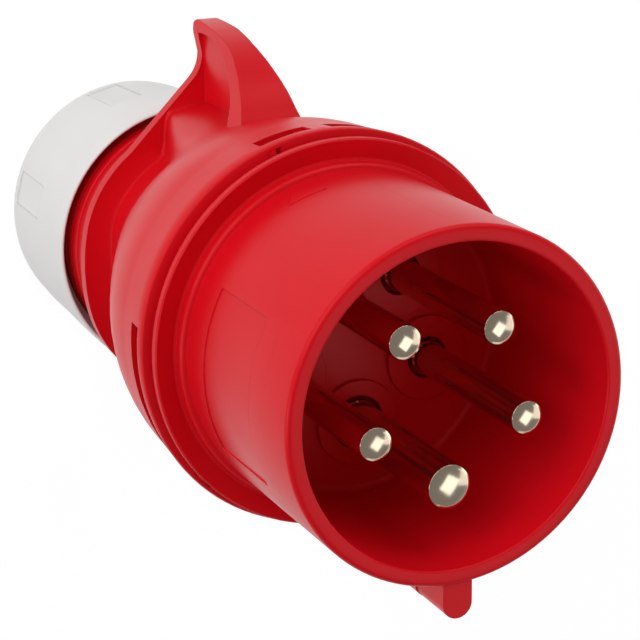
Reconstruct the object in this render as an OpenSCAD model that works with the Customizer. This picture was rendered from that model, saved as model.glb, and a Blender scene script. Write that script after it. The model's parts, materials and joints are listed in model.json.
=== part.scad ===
// Industrial pin and sleeve plug, three phases, neutral and earth, 32 A size.
// It stands on the rear face of its gland nut: +Z runs along the axis to the mouth of the shroud,
// +Y points to the finger fin, and the earth pin and the key rib are on -Y.

/* [Front sleeve] */
// Outside diameter of the shroud round the pins
shroud_d = 63; // [62.4:0.1:63.4]
// Wall thickness of the shroud
shroud_wall = 2.95; // [2.7:0.05:3.1]
// Depth of the shroud from its rim to the floor
shroud_depth = 40; // [39:0.5:41]
// Diameter of the thickened root of the shroud
root_d = 65.2; // [64.8:0.2:66]
// Diameter of the grip flange behind the root
flange_d = 73.6; // [73:0.2:74.4]
// Width of the key rib
key_w = 5.5; // [4.9:0.1:5.9]
// How far the key rib stands off the shroud
key_h = 6.5; // [6:0.1:6.8]

/* [Contact pins] */
// Diameter of the circle that the pins stand on
pitch_d = 30; // [29.8:0.1:30.2]
// Diameter of the phase and neutral pins
phase_d = 6; // [5.8:0.1:6.2]
// Diameter of the earth pin
earth_d = 8; // [7.8:0.1:8.2]
// How far the phase pins end behind the rim
phase_gap = 2.4; // [1.5:0.1:4]
// How far the earth pin ends behind the rim
earth_gap = 3.4; // [1.5:0.1:4]

/* [Rear housing] */
// Diameter of the bayonet collar
collar_d = 75.8; // [75.4:0.2:76.4]
// Diameter of the waist in front of the rear plate
waist_d = 46.2; // [45:0.2:47]
// Diameter of the round part of the rear plate
plate_d = 59.6; // [59:0.2:60]
// Thickness of the rear plate
plate_t = 2.6; // [2.4:0.1:3]
// How much further back the saddle under the fin keeps the barrel's girth
saddle_len = 27; // [24:1:30]
// Height of the saddle over the axis
saddle_h = 32.7; // [32.2:0.1:32.9]
// Half width of the saddle where it meets the rear plate
saddle_w = 10.5; // [10:0.1:10.8]
// Height of the fin tip over the axis
fin_top = 49.5; // [49.3:0.1:50]
// Thickness of the web between the fin and the plate
web_t = 3; // [2.6:0.2:3.6]

/* [Gland] */
// Diameter of the gland nut at its middle
nut_d = 58; // [57.6:0.2:58.6]
// Diameter of the threaded neck
neck_d = 53.2; // [52.8:0.2:53.4]
// Bore of the rubber seal that grips the cable
seal_bore = 23; // [18:0.5:25]
// Number of clamping fingers
finger_count = 12; // [8:2:14]

/* [Hidden] */
// Heights along the axis
rim_z = 162;
floor_z = rim_z - shroud_depth;
base_z = 110;
root_z = 118.3;
flange_z = 116.9;
flange_t = 2;
skirt_z = 100;
collar_z = 112.9;
shoulder_z = 101.6;
plate_z = 55;
neck_z = 14;
thread_z = 27;
seat_z = 40;
nut_h = 41;
// Radii
shroud_r = shroud_d / 2;
bore_r = shroud_r - shroud_wall;
flange_r = flange_d / 2;
root_r = root_d / 2;
collar_r = collar_d / 2;
shoulder_r = collar_r - 1;
skirt_r = 34.7;
collar_bore_r = 35;
lug_r = 36.8;
waist_r = waist_d / 2;
plate_r = plate_d / 2;
nut_r = nut_d / 2;
neck_r = neck_d / 2;
neck_bore_r = 19.5;
pitch_r = pitch_d / 2;
wall = 2.8;
// Bayonet windows as [start, end] angles, and the lugs that run in them
windows = [[93.9, 109.8], [73, 88.1], [172.5, 227], [-47, 7.5]];
lugs = [[94.2, 97.4], [208, 214], [-46.5, -40.5]];
window_lo = 105.8;
window_hi = 110;
lug_gap = 0.15;
twist = 12;
// Directions of the pins round the axis
pin_l1_a = 54;
pin_l2_a = 126;
pin_l3_a = 198;
pin_n_a = -18;
pin_e_a = -90;
pin_angles = [pin_l1_a, pin_l2_a, pin_l3_a, pin_n_a, pin_e_a];
post_z = 90;
post_r = 5.2;
post_flat = 4.4;
screw_z = [94.4, 102.4];
screw_r = 1.9;
head_r = 3.1;
head_h = 2.4;

red = [0.87, 0.1, 0.13];
nickel = [0.8, 0.78, 0.74];
steel = [0.7, 0.7, 0.72];
white = [0.88, 0.87, 0.86];

// Position at a height z on the pitch circle, turned to angle a
module at_pin(a, z = 0) {
    rotate(a)
        translate([pitch_r, 0, z])
            children();
}

// Sector of a disc between two angles and two heights, reaching out at least to radius r
module sector(a0, a1, r, z0, z1) {
    steps = 4;
    far = r / cos((a1 - a0) / steps / 2);
    translate([0, 0, z0])
        linear_extrude(z1 - z0)
            polygon(concat(
                [[0, 0]],
                [for (i = [0:steps]) let (a = a0 + (a1 - a0) * i / steps) [far * cos(a), far * sin(a)]]
            ));
}

// ---------------------------------------------------------------- front sleeve

// Half section of the shroud, its root and the grip flange
function sleeve_profile() = [
    [0, base_z],
    [31.4, base_z],
    [31.4, skirt_z],
    [skirt_r, skirt_z],
    [skirt_r, flange_z - flange_t],
    [flange_r - 0.3, flange_z - flange_t],
    [flange_r, flange_z - flange_t + 0.3],
    [flange_r, flange_z - 0.3],
    [flange_r - 0.3, flange_z],
    [root_r + 0.5, flange_z - 0.9],
    [root_r, flange_z - 0.7],
    for (a = [0:15:90]) [root_r - 1.05 + 1.05 * cos(a), root_z - 1.05 + 1.05 * sin(a)],
    [shroud_r, root_z],
    for (a = [0:15:90]) [shroud_r - 0.9 + 0.9 * cos(a), rim_z - 0.9 + 0.9 * sin(a)],
    for (a = [90:30:180]) [bore_r + 0.4 + 0.4 * cos(a), rim_z - 0.4 + 0.4 * sin(a)],
    for (a = [0:15:90]) [bore_r - 1.2 + 1.2 * cos(a), floor_z + 1.2 - 1.2 * sin(a)],
    [0, floor_z]
];

// Rib on the shroud that sets the hour position, with a slimmer nose at the mouth
key_step_z = 151.5;
module rib_part(half, z0, z1) {
    reach = shroud_r + key_h;
    translate([0, 0, z0])
        linear_extrude(z1 - z0)
            difference() {
                union() {
                    translate([-half, -reach + half])
                        square([2 * half, key_h]);
                    translate([0, -reach + half])
                        circle(r = half, $fn = 48);
                }
                circle(r = shroud_r - 1, $fn = 96);
            }
}

module key_rib() {
    rib_part(key_w / 2, key_step_z - 1, rim_z - 0.6);
    rib_part(key_w / 2 + 0.3, root_z - 1, key_step_z);
}

// Shallow field on the side of the shroud, where a rating is moulded in on some plugs; it is bare
field_depth = 0.25;
module bare_field() {
    difference() {
        sector(150.8, 206.5, shroud_r + 2, 126.4, 146.5);
        translate([0, 0, 120])
            cylinder(r = shroud_r - field_depth, h = 34, $fn = 128);
    }
}

module pin_bore(d) {
    translate([0, 0, base_z - 1])
        cylinder(d = d + 0.8, h = floor_z - base_z + 4, $fn = 48);
}

// Boss on the floor with the ring recess round a pin
module floor_boss() {
    translate([0, 0, floor_z - 1])
        cylinder(r = 8, h = 1.8, $fn = 64);
}

module recess(r) {
    translate([0, 0, floor_z - 2.4])
        cylinder(r = r, h = 8, $fn = 48);
}

module front_sleeve() {
    color(red)
        difference() {
            union() {
                rotate_extrude($fn = 128)
                    polygon(sleeve_profile());
                key_rib();
                for (a = pin_angles)
                    at_pin(a)
                        floor_boss();
                // bayonet lugs
                for (s = lugs)
                    difference() {
                        intersection() {
                            sector(s[0], s[1], 50, window_lo + lug_gap, window_hi - lug_gap);
                            translate([0, 0, skirt_z])
                                cylinder(r = lug_r, h = 12, $fn = 128);
                        }
                        translate([0, 0, skirt_z - 1])
                            cylinder(r = skirt_r - 1, h = 14, $fn = 128);
                    }
                // walls between the terminal posts
                for (a = pin_angles)
                    rotate(a + 36)
                        translate([9, -0.9, post_z])
                            cube([23, 1.8, base_z - post_z + 1]);
                translate([0, 0, post_z])
                    difference() {
                        cylinder(r = 9.6, h = base_z - post_z + 1, $fn = 64);
                        translate([0, 0, -1])
                            cylinder(r = 8, h = base_z - post_z + 1, $fn = 64);
                        for (a = pin_angles)
                            at_pin(a)
                                translate([0, 0, -2])
                                    cylinder(r = 7.4, h = base_z - post_z + 2, $fn = 48);
                    }
            }
            bare_field();
            for (a = pin_angles)
                at_pin(a) {
                    pin_bore(a == pin_e_a ? earth_d : phase_d);
                    recess(a == pin_e_a ? 5.1 : 4);
                }
        }
}

// ---------------------------------------------------------------- contact pins

// Turned pin with a chamfered tip and a terminal post that takes the wire from behind
module contact_pin(a, d, gap, hole) {
    tip = rim_z - gap;
    r = d / 2;
    color(nickel)
        at_pin(a)
            difference() {
                rotate_extrude($fn = 64)
                    polygon([
                        [0, post_z],
                        [post_r - 0.4, post_z],
                        [post_r, post_z + 0.4],
                        [post_r, base_z],
                        [r + 0.3, base_z],
                        [r + 0.3, floor_z + 1],
                        [r, floor_z + 1.3],
                        [r, tip - 0.8],
                        [r - 0.12, tip - 0.38],
                        [r - 0.75, tip],
                        [0, tip]
                    ]);
                translate([0, 0, post_z - 1])
                    cylinder(d = hole, h = 17, $fn = 48);
                translate([post_flat, -6, post_z - 1])
                    cube([3, 12, base_z - post_z - 1]);
                for (z = screw_z)
                    translate([0, 0, z])
                        rotate([0, 90, 0])
                            cylinder(r = screw_r + 0.1, h = 8, $fn = 32);
            }
}

module pin_l1() {
    contact_pin(pin_l1_a, phase_d, phase_gap, 5.4);
}

module pin_l2() {
    contact_pin(pin_l2_a, phase_d, phase_gap, 5.4);
}

module pin_l3() {
    contact_pin(pin_l3_a, phase_d, phase_gap, 5.4);
}

module pin_neutral() {
    contact_pin(pin_n_a, phase_d, phase_gap, 5.4);
}

module pin_earth() {
    contact_pin(pin_e_a, earth_d, earth_gap, 5.4);
}

// Two cheese head screws that clamp the wire in one terminal post
module terminal_screws(a) {
    color(steel)
        at_pin(a)
            for (z = screw_z)
                translate([0, 0, z])
                    rotate([0, 90, 0])
                        difference() {
                            union() {
                                translate([0, 0, 0.6])
                                    cylinder(r = screw_r, h = post_flat, $fn = 32);
                                translate([0, 0, post_flat])
                                    cylinder(r = head_r, h = head_h, $fn = 32);
                            }
                            translate([-4, -0.4, post_flat + head_h - 1.1])
                                cube([8, 0.8, 2]);
                        }
}

module screws_l1() {
    terminal_screws(pin_l1_a);
}

module screws_l2() {
    terminal_screws(pin_l2_a);
}

module screws_l3() {
    terminal_screws(pin_l3_a);
}

module screws_neutral() {
    terminal_screws(pin_n_a);
}

module screws_earth() {
    terminal_screws(pin_e_a);
}

// Plate that snaps in behind the terminal posts and holds the pins against the floor
module pin_retainer() {
    color([0.25, 0.25, 0.27])
        difference() {
            translate([0, 0, post_z - 2.6])
                cylinder(r = 31, h = 2.6, $fn = 96);
            for (a = pin_angles)
                at_pin(a, post_z - 4)
                    cylinder(r = 3.6, h = 6, $fn = 32);
            translate([0, 0, post_z - 4])
                cylinder(r = 5, h = 6, $fn = 32);
        }
}

// ---------------------------------------------------------------- rear housing

// Radius of the barrel at height z, from a waist of radius w out to the shoulder of the collar
barrel_lo = 59;
foot_r = 0.9;
function barrel_t(z) = min(1, max(0, (z - barrel_lo) / (shoulder_z - barrel_lo)));
function barrel_r(z, w = waist_r) = w + (shoulder_r - w) * (1 - cos(180 * pow(barrel_t(z), 0.72))) / 2;
function foot_add(z) =
    z > plate_z + foot_r ? 0 : foot_r - sqrt(max(0, pow(foot_r, 2) - pow(plate_z + foot_r - z, 2)));

// Blends of two radii, with a soft fillet or a soft edge of size k between them
function soft_max(p, q, k) = max(p, q) + k / 4 * pow(max(0, 1 - abs(p - q) / k), 2);
function soft_min(p, q, k) = -soft_max(-p, -q, k);
function ease(t) = let (u = min(1, max(0, t))) u * u * (3 - 2 * u);

// The waist is a little fuller on the fin's side; a is the direction from +Y
function waist_at(a) = waist_r + 1.7 * ease((88 - abs(a)) / 30);

// Saddle under the fin: it keeps the barrel's girth further back, between two steep sides
function saddle_top(a, z) = soft_min(barrel_r(z + saddle_len, waist_at(a)), saddle_h, 2);
function saddle_side(a, z) = (saddle_w + 0.25 * (z - plate_z)) / sin(abs(a));
function saddle_r(a, z) =
    abs(a) < 6 ? saddle_top(a, z) : abs(a) > 60 ? 0 : soft_min(saddle_top(a, z), saddle_side(a, z), 6);
function body_r(a, z) = soft_max(barrel_r(z, waist_at(a)), saddle_r(a, z), 3) + foot_add(z);

// Directions round the body, closer together over the sides of the saddle
dir_side = [4, 8, 11, 13.5, 15.5, 17.5, 19, 20.5, 22, 23.5, 25, 27, 29.5, 32.5, 36, 40, 45, 50, 55, 60];
dir_fine = concat([for (i = [len(dir_side) - 1:-1:0]) -dir_side[i]], [0], dir_side);
dir_rough = [for (i = [1:47]) 60 + i * 5 - (i > 24 ? 360 : 0)];
directions = concat(dir_fine, dir_rough);
row_count = 18;
rows = concat(
    [plate_z - 1, plate_z, plate_z + 0.4, plate_z + foot_r],
    [for (i = [1:row_count]) plate_z + foot_r + (shoulder_z - plate_z - foot_r) * i / row_count]
);

module body_loft() {
    n = len(directions);
    m = len(rows);
    pts = [for (z = rows) for (a = directions) let (r = body_r(a, z)) [r * sin(a), r * cos(a), z]];
    sides = [
        for (j = [0:m - 2])
            for (i = [0:n - 1])
                let (k = (i + 1) % n)
                    each [
                        [j * n + i, j * n + k, (j + 1) * n + k],
                        [j * n + i, (j + 1) * n + k, (j + 1) * n + i]
                    ]
    ];
    polyhedron(concat(pts), concat(
        sides,
        [[for (i = [n - 1:-1:0]) i]],
        [[for (i = [0:n - 1]) (m - 1) * n + i]]
    ), convexity = 6);
}

// Teardrop plate: a disc, a little flatter at its sides, whose flanks run up at 45 degrees and
// sweep into the rear rib of the fin
rib_w = 1.9;
tip_w = 2.7;
sweep_r = 7.5;
rib_top = 49.1;
flank_r = 29.5;
function disc_r(a) = plate_r - 0.9 * pow(max(0, cos(2 * a)), 3);
module plate_outline() {
    t = flank_r / sqrt(2);
    cx = rib_w + sweep_r;
    cy = 2 * t - rib_w + sweep_r * (sqrt(2) - 1);
    flank = [for (a = [-45:7.5:0]) [-cx + sweep_r * cos(a), cy + sweep_r * sin(a)]];
    tip = [
        [-rib_w - 0.3, 44.4], [-tip_w + 0.15, 46.2], [-tip_w, 47.4], [-tip_w + 0.1, 48.4],
        [-tip_w + 0.5, 48.9], [-tip_w + 1, rib_top], [0, rib_top]
    ];
    half = concat([[0, 0], [-t, t]], flank, tip);
    polygon([for (i = [0:119]) let (a = 3 * i) [disc_r(a) * cos(a), disc_r(a) * sin(a)]]);
    polygon(half);
    mirror([1, 0])
        polygon(half);
}

// Side view of the fin, as [height over the axis, height along the axis]
plate_back = plate_z - plate_t;
fin_front = [
    [31, 87], [33.4, 85.9], [34.8, 85.1], [36, 84.3], [37.5, 83.4], [38.9, 82.3], [40.9, 80.3],
    [42.4, 78.5], [44.1, 76.1], [45.1, 74.4], [46.1, 72.4], [47.3, 69.2], [48.1, 66], [48.8, 62.5],
    [fin_top - 0.3, 58.6], [fin_top, 54.6], [fin_top - 0.1, plate_back + 0.6], [fin_top - 0.6, plate_back]
];
fin_back = [
    [46.6, plate_back], [47, 54.2], [47.2, 57.4], [47.1, 60.5], [46.7, 63.4], [45.6, 67], [43.7, 70.9],
    [41.6, 74.1], [39.6, 76.4], [37.5, 77.9], [35.5, 78.6], [33.4, 79.2], [31, 79.6]
];
// Front view of the blade, as [half width, height over the axis]
blade_half = [
    [7.2, 31], [6.5, 33.6], [5.95, 35.2], [5.55, 36.6], [5.05, 38.6], [4.5, 40.6], [4, 42.2], [3.5, 43.9],
    [2.95, 45.6], [2.65, 46.8], [2.6, 48.6], [2.3, 49.2], [1.6, 49.9], [0, 50.2]
];

// Stands a [y, z] outline up as a slab of thickness t across x
module slab(outline, t) {
    rotate([90, 0, 90])
        translate([0, 0, -t / 2])
            linear_extrude(t)
                polygon(outline);
}

module fin_blade() {
    intersection() {
        slab(concat(fin_front, fin_back), 14);
        translate([0, 0, 50])
            linear_extrude(40)
                polygon(concat(
                    [for (p = blade_half) [p[0], p[1]]],
                    [for (i = [len(blade_half) - 1:-1:0]) [-blade_half[i][0], blade_half[i][1]]]
                ));
    }
}

// Web that fills the fin between the blade and the plate
module fin_web() {
    slab(concat(fin_front, [[30, plate_back]]), web_t);
}

module bayonet_windows() {
    for (w = windows)
        difference() {
            sector(w[0], w[1], 50, window_lo, window_hi);
            translate([0, 0, window_lo - 1])
                cylinder(r = collar_bore_r - 1, h = 6, $fn = 96);
        }
    // grooves under the lip that let the lugs in when the sleeve is turned open
    for (s = lugs)
        intersection() {
            sector(s[0] + twist - 0.3, s[1] + twist + 0.3, 50, window_lo, collar_z + 1);
            translate([0, 0, window_lo])
                cylinder(r = lug_r + 0.25, h = 10, $fn = 128);
        }
}

// Hollow of the housing: collar bore, wiring space, seal seat and neck bore
function cavity_profile() = [
    [0, collar_z + 1],
    [collar_bore_r + 0.5, collar_z + 1],
    [collar_bore_r, collar_z - 0.5],
    [collar_bore_r, skirt_z - 0.1],
    [barrel_r(skirt_z - 1) - wall, skirt_z - 0.1],
    for (z = [97:-3:64]) [barrel_r(z) - wall, z],
    [neck_bore_r, 58],
    [neck_bore_r, seat_z + 6],
    [16, seat_z + 3],
    [16, seat_z],
    [neck_bore_r, seat_z],
    [neck_bore_r, neck_z - 1],
    [0, neck_z - 1]
];

module rear_housing() {
    color(red)
        difference() {
            union() {
                body_loft();
                rotate_extrude($fn = 128)
                    polygon([
                        [20, shoulder_z - 4],
                        [shoulder_r - 0.25, shoulder_z - 4],
                        [shoulder_r + 0.04, shoulder_z],
                        [collar_r, collar_z - 0.6],
                        [collar_r - 0.2, collar_z - 0.2],
                        [collar_r - 0.6, collar_z],
                        [20, collar_z]
                    ]);
                translate([0, 0, plate_z - plate_t])
                    linear_extrude(plate_t)
                        plate_outline();
                fin_blade();
                fin_web();
                translate([0, 0, neck_z])
                    cylinder(r = neck_r - 1.5, h = 16, $fn = 96);
                translate([0, 0, thread_z])
                    cylinder(r = neck_r, h = plate_z - 1 - thread_z, $fn = 96);
            }
            rotate_extrude($fn = 96)
                polygon(cavity_profile());
            bayonet_windows();
        }
}

// ---------------------------------------------------------------- gland

// Rubber sleeve that closes round the cable
module gland_seal() {
    color([0.13, 0.13, 0.14])
        rotate_extrude($fn = 96)
            polygon([
                [seal_bore / 2, 30],
                [seal_bore / 2 + 1, 28],
                [neck_bore_r - 0.1, 28],
                [neck_bore_r - 0.1, seat_z],
                [seal_bore / 2 + 1, seat_z],
                [seal_bore / 2, seat_z - 2]
            ]);
}

// Ring with a crown of clamping fingers that lean in towards the cable
module gland_cage() {
    color([0.3, 0.3, 0.32])
        difference() {
            rotate_extrude($fn = 96)
                polygon([
                    [14.6, 28],
                    [14.6, 22],
                    [13.2, 9.4],
                    [13.6, 9],
                    [15.8, 9],
                    [16.4, 9.8],
                    [17.6, 19],
                    [17.6, 23],
                    [19.4, 24.4],
                    [19.4, 28]
                ]);
            for (i = [0:finger_count / 2 - 1])
                rotate(i * 360 / finger_count)
                    translate([-30, -1, 5])
                        cube([60, 2, 17.6]);
        }
}

// Slip ring between the nut and the fingers, with the cone that closes them
module thrust_ring() {
    color([0.8, 0.8, 0.78])
        rotate_extrude($fn = 96)
            polygon([[17, 4], [25, 4], [25, 6], [24.4, 6.6], [18.6, 6.6]]);
}

// Gland nut: barrel outside with a rounded rear shoulder, a thin lip and shallow grip panels
lip_r = 28.7;
panel_turns = [104.3, 165.3, 226.3, 287.3, 348.3, 43.3];
panel_w = 7.3;
panel_lo = 5.5;
panel_len = 17;
function nut_outer() = [
    [14, 0],
    [24.5, 0],
    for (a = [-75:15:0]) [24.4 + 3.8 * cos(a), 3.9 + 3.9 * sin(a)],
    [nut_r - 0.35, 12],
    [nut_r - 0.1, 22],
    [nut_r + 0.3, 32],
    for (a = [0:15:90]) [nut_r - 0.1 + 0.55 * cos(a), nut_h - 0.55 + 0.55 * sin(a)],
    [lip_r, nut_h - 0.2],
    [lip_r - 0.2, 36.2],
    [neck_r + 0.3, 34.8],
    [neck_r + 0.3, 21.5],
    [neck_r - 0.6, 20.3],
    [neck_r - 0.6, 4],
    [14, 4]
];

module gland_nut() {
    color(white)
        difference() {
            rotate_extrude($fn = 128)
                polygon(nut_outer());
            for (a = panel_turns)
                rotate(a)
                    translate([nut_r - 1.15, -panel_w / 2, panel_lo])
                        rotate([0, 1.8, 0])
                            cube([6, panel_w, panel_len]);
        }
}

front_sleeve();
pin_l1();
pin_l2();
pin_l3();
pin_neutral();
pin_earth();
screws_l1();
screws_l2();
screws_l3();
screws_neutral();
screws_earth();
pin_retainer();
rear_housing();
gland_seal();
gland_cage();
thrust_ring();
gland_nut();
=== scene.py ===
import json
import math

import bmesh
import bpy
from mathutils import Matrix, Vector
from mathutils.bvhtree import BVHTree


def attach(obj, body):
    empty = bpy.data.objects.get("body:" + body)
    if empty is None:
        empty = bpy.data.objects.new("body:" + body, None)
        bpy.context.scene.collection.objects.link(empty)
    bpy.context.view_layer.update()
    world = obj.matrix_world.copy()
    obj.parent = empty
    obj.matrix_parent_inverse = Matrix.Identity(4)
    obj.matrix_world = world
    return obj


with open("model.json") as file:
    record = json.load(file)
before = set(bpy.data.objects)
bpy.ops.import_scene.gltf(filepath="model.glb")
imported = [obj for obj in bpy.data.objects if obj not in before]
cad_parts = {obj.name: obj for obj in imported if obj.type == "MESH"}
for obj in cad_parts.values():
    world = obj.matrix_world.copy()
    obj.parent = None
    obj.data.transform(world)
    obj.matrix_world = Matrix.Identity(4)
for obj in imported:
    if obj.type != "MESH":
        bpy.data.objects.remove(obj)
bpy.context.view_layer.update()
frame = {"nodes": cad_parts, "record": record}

NODES = frame["nodes"]
MM = 0.001


# ------------------------------------------------------------------ helpers

def rad(a):
    return math.radians(a)


def polar(r, a, z):
    """A point in metres from millimetres and degrees round the axis."""
    return Vector((r * math.cos(rad(a)), r * math.sin(rad(a)), z)) * MM


def new_object(name, bm, material, body):
    """A flat-shaded piece from a bmesh, riding on a body."""
    mesh = bpy.data.meshes.new(name)
    bm.normal_update()
    bm.to_mesh(mesh)
    bm.free()
    obj = bpy.data.objects.new(name, mesh)
    bpy.context.scene.collection.objects.link(obj)
    mesh.materials.append(material)
    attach(obj, body)
    return obj


class Nodes:
    """A small wrapper that adds nodes to a tree and links them."""

    def __init__(self, tree):
        self.tree = tree

    def add(self, kind, **values):
        node = self.tree.nodes.new(kind)
        for key, value in values.items():
            if key.startswith("in_"):
                node.inputs[key[3:].replace("_", " ")].default_value = value
            else:
                setattr(node, key, value)
        return node

    def link(self, a, b):
        self.tree.links.new(a, b)

    def math(self, op, a, b=None, clamp=False):
        node = self.add("ShaderNodeMath", operation=op, use_clamp=clamp)
        for i, v in enumerate((a, b)):
            if v is None:
                continue
            if isinstance(v, (int, float)):
                node.inputs[i].default_value = v
            else:
                self.link(v, node.inputs[i])
        return node.outputs[0]

    def noise(self, vector, scale, detail=3.0, rough=0.55):
        node = self.add("ShaderNodeTexNoise", in_Scale=scale, in_Detail=detail, in_Roughness=rough)
        self.link(vector, node.inputs["Vector"])
        return node.outputs["Fac"]

    def spread(self, value, lo, hi, from_lo=0.3, from_hi=0.7):
        """Map the usual range of a noise to lo ... hi."""
        node = self.add("ShaderNodeMapRange")
        for name, v in (("From Min", from_lo), ("From Max", from_hi), ("To Min", lo), ("To Max", hi)):
            node.inputs[name].default_value = v
        self.link(value, node.inputs["Value"])
        return node.outputs["Result"]


def fresh(name):
    mat = bpy.data.materials.new(name)
    mat.use_nodes = True
    mat.node_tree.nodes.clear()
    return mat, Nodes(mat.node_tree)


# ------------------------------------------------------------------ camera

CAMERA_AT = (-156.35, 117.67, 449.30)          # mm
CAMERA_RIGHT = (0.90792, -0.01367, 0.41892)    # the picture's right, as a direction
CAMERA_BACK = (-0.39624, 0.29790, 0.86848)     # from the object to the camera
SENSOR_MM = 36.0
LENS_MM = 118.125
CLIP = (0.01, 30.0)                            # m


def place_camera():
    right = Vector(CAMERA_RIGHT).normalized()
    back = Vector(CAMERA_BACK).normalized()
    up = back.cross(right).normalized()
    right = up.cross(back)
    data = bpy.data.cameras.new("camera")
    data.sensor_width = SENSOR_MM
    data.lens = LENS_MM
    data.clip_start, data.clip_end = CLIP
    cam = bpy.data.objects.new("camera", data)
    turn = Matrix((right, up, back)).transposed().to_4x4()
    cam.matrix_world = Matrix.Translation(Vector(CAMERA_AT) * MM) @ turn
    bpy.context.scene.collection.objects.link(cam)
    bpy.context.scene.camera = cam


# ------------------------------------------------------------------ studio

FLOOR_TURNS = 64
FLOOR_DROP = 0.00005      # m, the floor lies this far under the object
FLOOR_PROFILE = [(0.4, 0.0), (1.2, 0.0), (2.0, 0.0), (2.6, 0.03), (3.0, 0.14), (3.25, 0.4), (3.35, 0.8), (3.38, 1.5)]
FLOOR_GREY = 0.78         # what light bounces off
SEEN_GREY = 0.26          # what the camera and reflections see, with a glow added
SEEN_GLOW = 0.84
ROOM_LIGHT = 0.24

LAMP_AIM = (0, 0, 0.09)   # m
LAMPS = [                 # name, direction, distance m, size m, power W
    ("key_left", (-0.70, 0.60, 0.40), 1.0, (0.9, 0.9), 5.0),
    ("top", (0.25, 0.88, 0.40), 1.0, (0.8, 0.6), 2.7),
    ("left_strip", (-0.93, -0.18, 0.32), 0.9, (0.2, 0.8), 1.7),
    ("fill_right", (0.9, -0.1, 0.42), 1.1, (0.7, 0.9), 1.9),
    ("end_card", (0.396, -0.298, 0.868), 1.0, (0.45, 0.45), 0.95),
]


def grey(v):
    return (v, v, v, 1)


def floor_material():
    """White to the camera and in reflections, a plain pale grey to all other light."""
    mat, n = fresh("studio_white")
    plain = n.add("ShaderNodeBsdfDiffuse", in_Color=grey(FLOOR_GREY))
    soft = n.add("ShaderNodeBsdfDiffuse", in_Color=grey(SEEN_GREY))
    glow = n.add("ShaderNodeEmission", in_Color=grey(1), in_Strength=SEEN_GLOW)
    both = n.add("ShaderNodeAddShader")
    n.link(soft.outputs[0], both.inputs[0])
    n.link(glow.outputs[0], both.inputs[1])
    path = n.add("ShaderNodeLightPath")
    seen = n.math("ADD", path.outputs["Is Camera Ray"], path.outputs["Is Glossy Ray"])
    seen = n.math("ADD", seen, path.outputs["Is Transmission Ray"], clamp=True)
    mix = n.add("ShaderNodeMixShader")
    n.link(seen, mix.inputs[0])
    n.link(plain.outputs[0], mix.inputs[1])
    n.link(both.outputs[0], mix.inputs[2])
    out = n.add("ShaderNodeOutputMaterial")
    n.link(mix.outputs[0], out.inputs["Surface"])
    return mat


def studio_floor():
    """A floor disc that sweeps up into a low wall."""
    bm = bmesh.new()
    rows = []
    for r, z in FLOOR_PROFILE:
        turn = [2 * math.pi * i / FLOOR_TURNS for i in range(FLOOR_TURNS)]
        rows.append([bm.verts.new((r * math.cos(a), r * math.sin(a), z - FLOOR_DROP)) for a in turn])
    bm.faces.new(rows[0])
    for lo, hi in zip(rows, rows[1:]):
        for i in range(FLOOR_TURNS):
            k = (i + 1) % FLOOR_TURNS
            bm.faces.new((lo[i], lo[k], hi[k], hi[i]))
    bmesh.ops.recalc_face_normals(bm, faces=bm.faces)
    mesh = bpy.data.meshes.new("studio_floor")
    bm.to_mesh(mesh)
    bm.free()
    for poly in mesh.polygons:
        poly.use_smooth = True
    floor = bpy.data.objects.new("studio_floor", mesh)
    bpy.context.scene.collection.objects.link(floor)
    mesh.materials.append(floor_material())


def studio_world():
    """An even room, white where the camera looks past the floor."""
    world = bpy.data.worlds.new("world")
    bpy.context.scene.world = world
    world.use_nodes = True
    world.node_tree.nodes.clear()
    n = Nodes(world.node_tree)
    path = n.add("ShaderNodeLightPath")
    room = n.add("ShaderNodeBackground", in_Color=grey(1), in_Strength=ROOM_LIGHT)
    white = n.add("ShaderNodeBackground", in_Color=grey(1), in_Strength=1.0)
    mix = n.add("ShaderNodeMixShader")
    n.link(path.outputs["Is Camera Ray"], mix.inputs[0])
    n.link(room.outputs[0], mix.inputs[1])
    n.link(white.outputs[0], mix.inputs[2])
    out = n.add("ShaderNodeOutputWorld")
    n.link(mix.outputs[0], out.inputs["Surface"])


def lamp(name, direction, distance, size, power):
    """A soft area lamp that looks back at the object."""
    direction = Vector(direction).normalized()
    data = bpy.data.lights.new(name, "AREA")
    data.shape = "RECTANGLE"
    data.size, data.size_y = size
    data.energy = power
    obj = bpy.data.objects.new(name, data)
    obj.location = Vector(LAMP_AIM) + direction * distance
    obj.rotation_euler = direction.to_track_quat("Z", "Y").to_euler()
    bpy.context.scene.collection.objects.link(obj)


# ------------------------------------------------------------------ materials

SLOW_SCALE = 38.0         # slow colour variation of plastic, cycles per metre
RIPPLE_SCALE = 240.0      # shallow unevenness left by the mould
GRAIN_MM = 0.22
RIPPLE_SHARE = 0.5
MOTTLE = 0.5              # how far the colour strays to the darker one
GRAIN_STRENGTH = 0.35
GRAIN_DEPTH = 0.00003     # m
MARK_DEPTH = 0.0002       # m

CLOUD_SCALE = 160.0       # slow variation of plated metal
TURNING_SCALE = 420.0     # turning marks, drawn out round the pin
TURNING_STRETCH = 14.0
TURNING_DEPTH = 0.00001   # m
METAL_DARK = 0.86         # the darker tone of a metal, as a share of its colour
METAL_MOTTLE = 0.6

SEAM_HALF = 0.00012       # m, half the width of the mould seam
RING_HALF = 0.0001        # m, half the width of the ring line
RING_Z = 0.1524           # m, height of the ring line near the mouth
MARK_SHARE = 0.3

RED = (0.70, 0.004, 0.011)
RED_DARK = (0.62, 0.003, 0.009)
RED_EDGE = 0.22           # mm, how far the look of an edge is rounded
RED_SPEC = 0.13


def rounded(n, edge_mm):
    """Normals that soften the edges of a piece."""
    return n.add("ShaderNodeBevel", samples=6, in_Radius=edge_mm * MM).outputs["Normal"]


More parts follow.
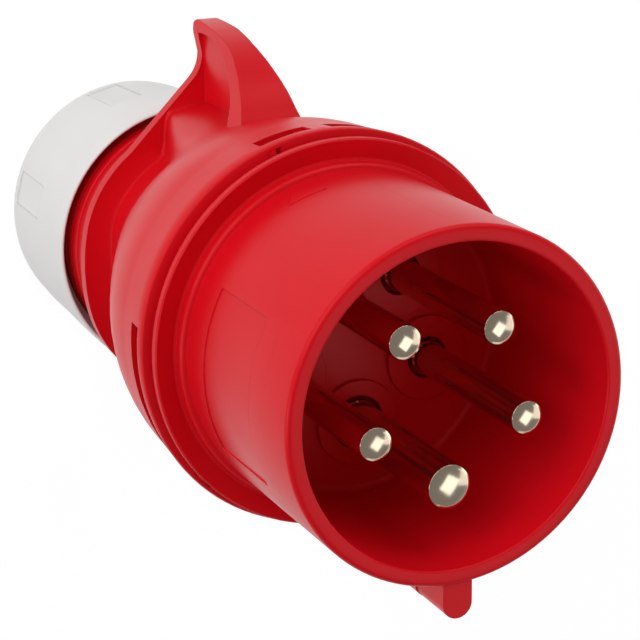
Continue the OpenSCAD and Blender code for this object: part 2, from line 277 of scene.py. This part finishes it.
def tinted(n, shader, colour, dark, amount):
    tint = n.add("ShaderNodeMix", data_type="RGBA")
    tint.inputs[6].default_value = (*colour, 1)
    tint.inputs[7].default_value = (*dark, 1)
    n.link(amount, tint.inputs[0])
    n.link(tint.outputs[2], shader.inputs["Base Color"])


def surfaced(n, shader, normal):
    n.link(normal, shader.inputs["Normal"])
    out = n.add("ShaderNodeOutputMaterial")
    n.link(shader.outputs["BSDF"], out.inputs["Surface"])


def moulded(name, colour, dark, rough, grain=0.35, edge_mm=0.35, marks=None, spec=0.5):
    """Moulded plastic: fine grain, slow colour variation, rounded edges, and optional marks."""
    mat, n = fresh(name)
    coord = n.add("ShaderNodeTexCoord").outputs["Object"]
    slow = n.noise(coord, SLOW_SCALE, 4.0)
    fine = n.noise(coord, 1.0 / (GRAIN_MM * MM), 2.0, 0.5)
    ripple = n.noise(coord, RIPPLE_SCALE, 2.0, 0.5)
    shader = n.add("ShaderNodeBsdfPrincipled")
    shader.inputs["Specular IOR Level"].default_value = spec
    shader.inputs["IOR"].default_value = 1.5
    tinted(n, shader, colour, dark, n.spread(slow, 0.0, MOTTLE))
    n.link(n.spread(slow, rough - 0.03, rough + 0.05), shader.inputs["Roughness"])
    height = n.math("ADD", n.math("MULTIPLY", fine, grain), n.math("MULTIPLY", ripple, RIPPLE_SHARE))
    bump = n.add("ShaderNodeBump", in_Strength=GRAIN_STRENGTH, in_Distance=GRAIN_DEPTH)
    n.link(height, bump.inputs["Height"])
    n.link(rounded(n, edge_mm), bump.inputs["Normal"])
    if marks is not None:
        lines = n.add("ShaderNodeBump", in_Strength=1.0, in_Distance=MARK_DEPTH)
        n.link(marks(n, coord), lines.inputs["Height"])
        n.link(bump.outputs["Normal"], lines.inputs["Normal"])
        bump = lines
    surfaced(n, shader, bump.outputs["Normal"])
    return mat


def metal(name, colour, rough, scratch, edge_mm):
    """Plated metal with faint turning marks."""
    mat, n = fresh(name)
    coord = n.add("ShaderNodeTexCoord").outputs["Object"]
    stretch = n.add("ShaderNodeMapping")
    stretch.inputs["Scale"].default_value = (1.0, 1.0, TURNING_STRETCH)
    n.link(coord, stretch.inputs["Vector"])
    rings = n.noise(stretch.outputs["Vector"], TURNING_SCALE, 3.0)
    cloud = n.noise(coord, CLOUD_SCALE, 3.0)
    shader = n.add("ShaderNodeBsdfPrincipled")
    shader.inputs["Metallic"].default_value = 1.0
    dark = [c * METAL_DARK for c in colour]
    tinted(n, shader, colour, dark, n.spread(cloud, 0.0, METAL_MOTTLE))
    n.link(n.spread(cloud, rough - 0.03, rough + 0.04), shader.inputs["Roughness"])
    bump = n.add("ShaderNodeBump", in_Strength=scratch, in_Distance=TURNING_DEPTH)
    n.link(rings, bump.inputs["Height"])
    n.link(rounded(n, edge_mm), bump.inputs["Normal"])
    surfaced(n, shader, bump.outputs["Normal"])
    return mat


def front_marks(n, coord):
    """Seam along the top of the shroud and a faint ring near its mouth."""
    xyz = n.add("ShaderNodeSeparateXYZ")
    n.link(coord, xyz.inputs[0])
    x, y, z = xyz.outputs
    near = n.math("LESS_THAN", n.math("ABSOLUTE", x), SEAM_HALF)
    top = n.math("GREATER_THAN", y, 0.0)
    seam = n.math("MULTIPLY", near, top)
    ring = n.math("LESS_THAN", n.math("ABSOLUTE", n.math("SUBTRACT", z, RING_Z)), RING_HALF)
    return n.math("MULTIPLY", n.math("ADD", seam, ring), MARK_SHARE)


def finishes():
    """One material for each material slot. The loaded model has materials of these names, so the keys are written out."""
    return {
        "red_front": moulded("red_front", RED, RED_DARK, 0.30, edge_mm=RED_EDGE, spec=RED_SPEC, marks=front_marks),
        "red_housing": moulded("red_housing", RED, RED_DARK, 0.32, edge_mm=RED_EDGE, spec=RED_SPEC),
        "pale_nut": moulded("pale_nut", (0.82, 0.81, 0.795), (0.78, 0.77, 0.755), 0.5, grain=0.5, edge_mm=0.4),
        "pale_ring": moulded("pale_ring", (0.62, 0.61, 0.58), (0.56, 0.55, 0.52), 0.5),
        "dark_plastic": moulded("dark_plastic", (0.045, 0.045, 0.05), (0.03, 0.03, 0.034), 0.45),
        "black_rubber": moulded("black_rubber", (0.02, 0.02, 0.021), (0.012, 0.012, 0.013), 0.7, grain=0.8),
        "nickel_pins": metal("nickel_pins", (0.74, 0.62, 0.47), 0.14, 0.12, 0.08),
        "zinc_screws": metal("zinc_screws", (0.62, 0.63, 0.66), 0.3, 0.3, 0.15),
    }


SMOOTH_BELOW = 32         # degrees: a sharper edge stays sharp
WELD = 0.000002           # m


def soft_normals():
    """Smooth shading between faces that meet at a small angle, as a modifier on a CAD node."""
    tree = bpy.data.node_groups.new("soft_normals", "GeometryNodeTree")
    tree.interface.new_socket("Geometry", in_out="INPUT", socket_type="NodeSocketGeometry")
    tree.interface.new_socket("Geometry", in_out="OUTPUT", socket_type="NodeSocketGeometry")
    n = Nodes(tree)
    entry = n.add("NodeGroupInput")
    strip = n.add("GeometryNodeRemoveAttribute")
    strip.inputs["Name"].default_value = "custom_normal"
    weld = n.add("GeometryNodeMergeByDistance")
    weld.inputs["Distance"].default_value = WELD
    faces = n.add("GeometryNodeSetShadeSmooth", domain="FACE")
    faces.inputs["Shade Smooth"].default_value = True
    edges = n.add("GeometryNodeSetShadeSmooth", domain="EDGE")
    angle = n.add("GeometryNodeInputMeshEdgeAngle")
    flat = n.math("LESS_THAN", angle.outputs["Unsigned Angle"], rad(SMOOTH_BELOW))
    n.link(flat, edges.inputs["Shade Smooth"])
    last = n.add("NodeGroupOutput")
    for a, b in zip((entry, strip, weld, faces, edges), (strip, weld, faces, edges, last)):
        n.link(a.outputs[0], b.inputs[0])
    return tree


def dress_nodes():
    smoother = soft_normals()
    for part in frame["record"]["subparts"]:
        obj = NODES[part["node"]]
        obj.data.materials.clear()
        obj.data.materials.append(FINISH[part["material_slot"]])
        mod = obj.modifiers.new("soft_normals", "NODES")
        mod.node_group = smoother


# ------------------------------------------------------------------ details

SINK = 0.1                # mm, how far the ridge is sunk in the neck
NECK_R = 26.6             # mm, outside of the housing's neck
THREAD_LO = 28.5          # mm, height of the first turn
THREAD_HI = 49.0
THREAD_PITCH = 3.0
THREAD_WIDE = 1.9         # mm, at the foot of the ridge
THREAD_HIGH = 0.2
THREAD_STEPS = 72         # in a turn

ARROW = [(110.5, 119.5), (103.5, 126.5), (117.0, 125.5)]   # degrees, mm: its corners
ARROW_STEPS = 10
ARROW_LIFT = 0.12         # mm, above and below the wall
RAY_FROM = 60.0           # mm, outside every wall


def thread_ridge():
    """The neck's thread: a low ridge wound round it, sunk a little into its surface."""
    foot, crest = THREAD_WIDE / 2, THREAD_WIDE / 4
    section = [(-SINK, -foot), (THREAD_HIGH, -crest), (THREAD_HIGH, crest), (-SINK, foot)]
    turns = (THREAD_HI - THREAD_LO) / THREAD_PITCH
    bm = bmesh.new()
    rows = []
    for i in range(int(turns * THREAD_STEPS) + 1):
        a = 360.0 * i / THREAD_STEPS
        z = THREAD_LO + THREAD_PITCH * a / 360.0
        rows.append([bm.verts.new(polar(NECK_R + dr, a, z + dz)) for dr, dz in section])
    for lo, hi in zip(rows, rows[1:]):
        for k in range(4):
            j = (k + 1) % 4
            bm.faces.new((lo[k], hi[k], hi[j], lo[j]))
    bm.faces.new(rows[0])
    bm.faces.new(rows[-1])
    bmesh.ops.recalc_face_normals(bm, faces=bm.faces)
    return new_object("neck_thread", bm, FINISH["red_housing"], "housing")


def wall_tree(node):
    obj = NODES[node]
    points = [obj.matrix_world @ v.co for v in obj.data.vertices]
    return BVHTree.FromPolygons(points, [list(p.vertices) for p in obj.data.polygons])


def wall_radius(tree, a, z):
    """Distance in mm from the axis to the outside of a CAD node, in one direction."""
    out = polar(1.0, a, 0.0).normalized()
    hit = tree.ray_cast(out * RAY_FROM * MM + Vector((0, 0, z * MM)), -out)[0]
    return hit.xy.length / MM


def turning_arrow():
    """The plain triangle by the flange that shows which way the sleeve turns."""
    tree = wall_tree("front_sleeve")
    steps = ARROW_STEPS
    bm = bmesh.new()
    layers = []
    for lift in (ARROW_LIFT, -ARROW_LIFT):
        grid = {}
        for i in range(steps + 1):
            for j in range(steps + 1 - i):
                w = ((steps - i - j) / steps, i / steps, j / steps)
                a = sum(k * c[0] for k, c in zip(w, ARROW))
                z = sum(k * c[1] for k, c in zip(w, ARROW))
                grid[i, j] = bm.verts.new(polar(wall_radius(tree, a, z) + lift, a, z))
        for i in range(steps):
            for j in range(steps - i):
                bm.faces.new((grid[i, j], grid[i + 1, j], grid[i, j + 1]))
                if i + j < steps - 1:
                    bm.faces.new((grid[i + 1, j], grid[i + 1, j + 1], grid[i, j + 1]))
        layers.append(grid)
    rim = [(i, 0) for i in range(steps)]
    rim += [(steps - j, j) for j in range(steps)]
    rim += [(0, steps - k) for k in range(steps)]
    for p, q in zip(rim, rim[1:] + rim[:1]):
        bm.faces.new((layers[0][p], layers[0][q], layers[1][q], layers[1][p]))
    bmesh.ops.recalc_face_normals(bm, faces=bm.faces)
    return new_object("turning_arrow", bm, FINISH["red_front"], "front")


# ------------------------------------------------------------------ scene

place_camera()
studio_floor()
studio_world()
for row in LAMPS:
    lamp(*row)
FINISH = finishes()
dress_nodes()
thread_ridge()
turning_arrow()

scene = bpy.context.scene
scene.view_settings.view_transform = "Standard"

bpy.context.view_layer.update()
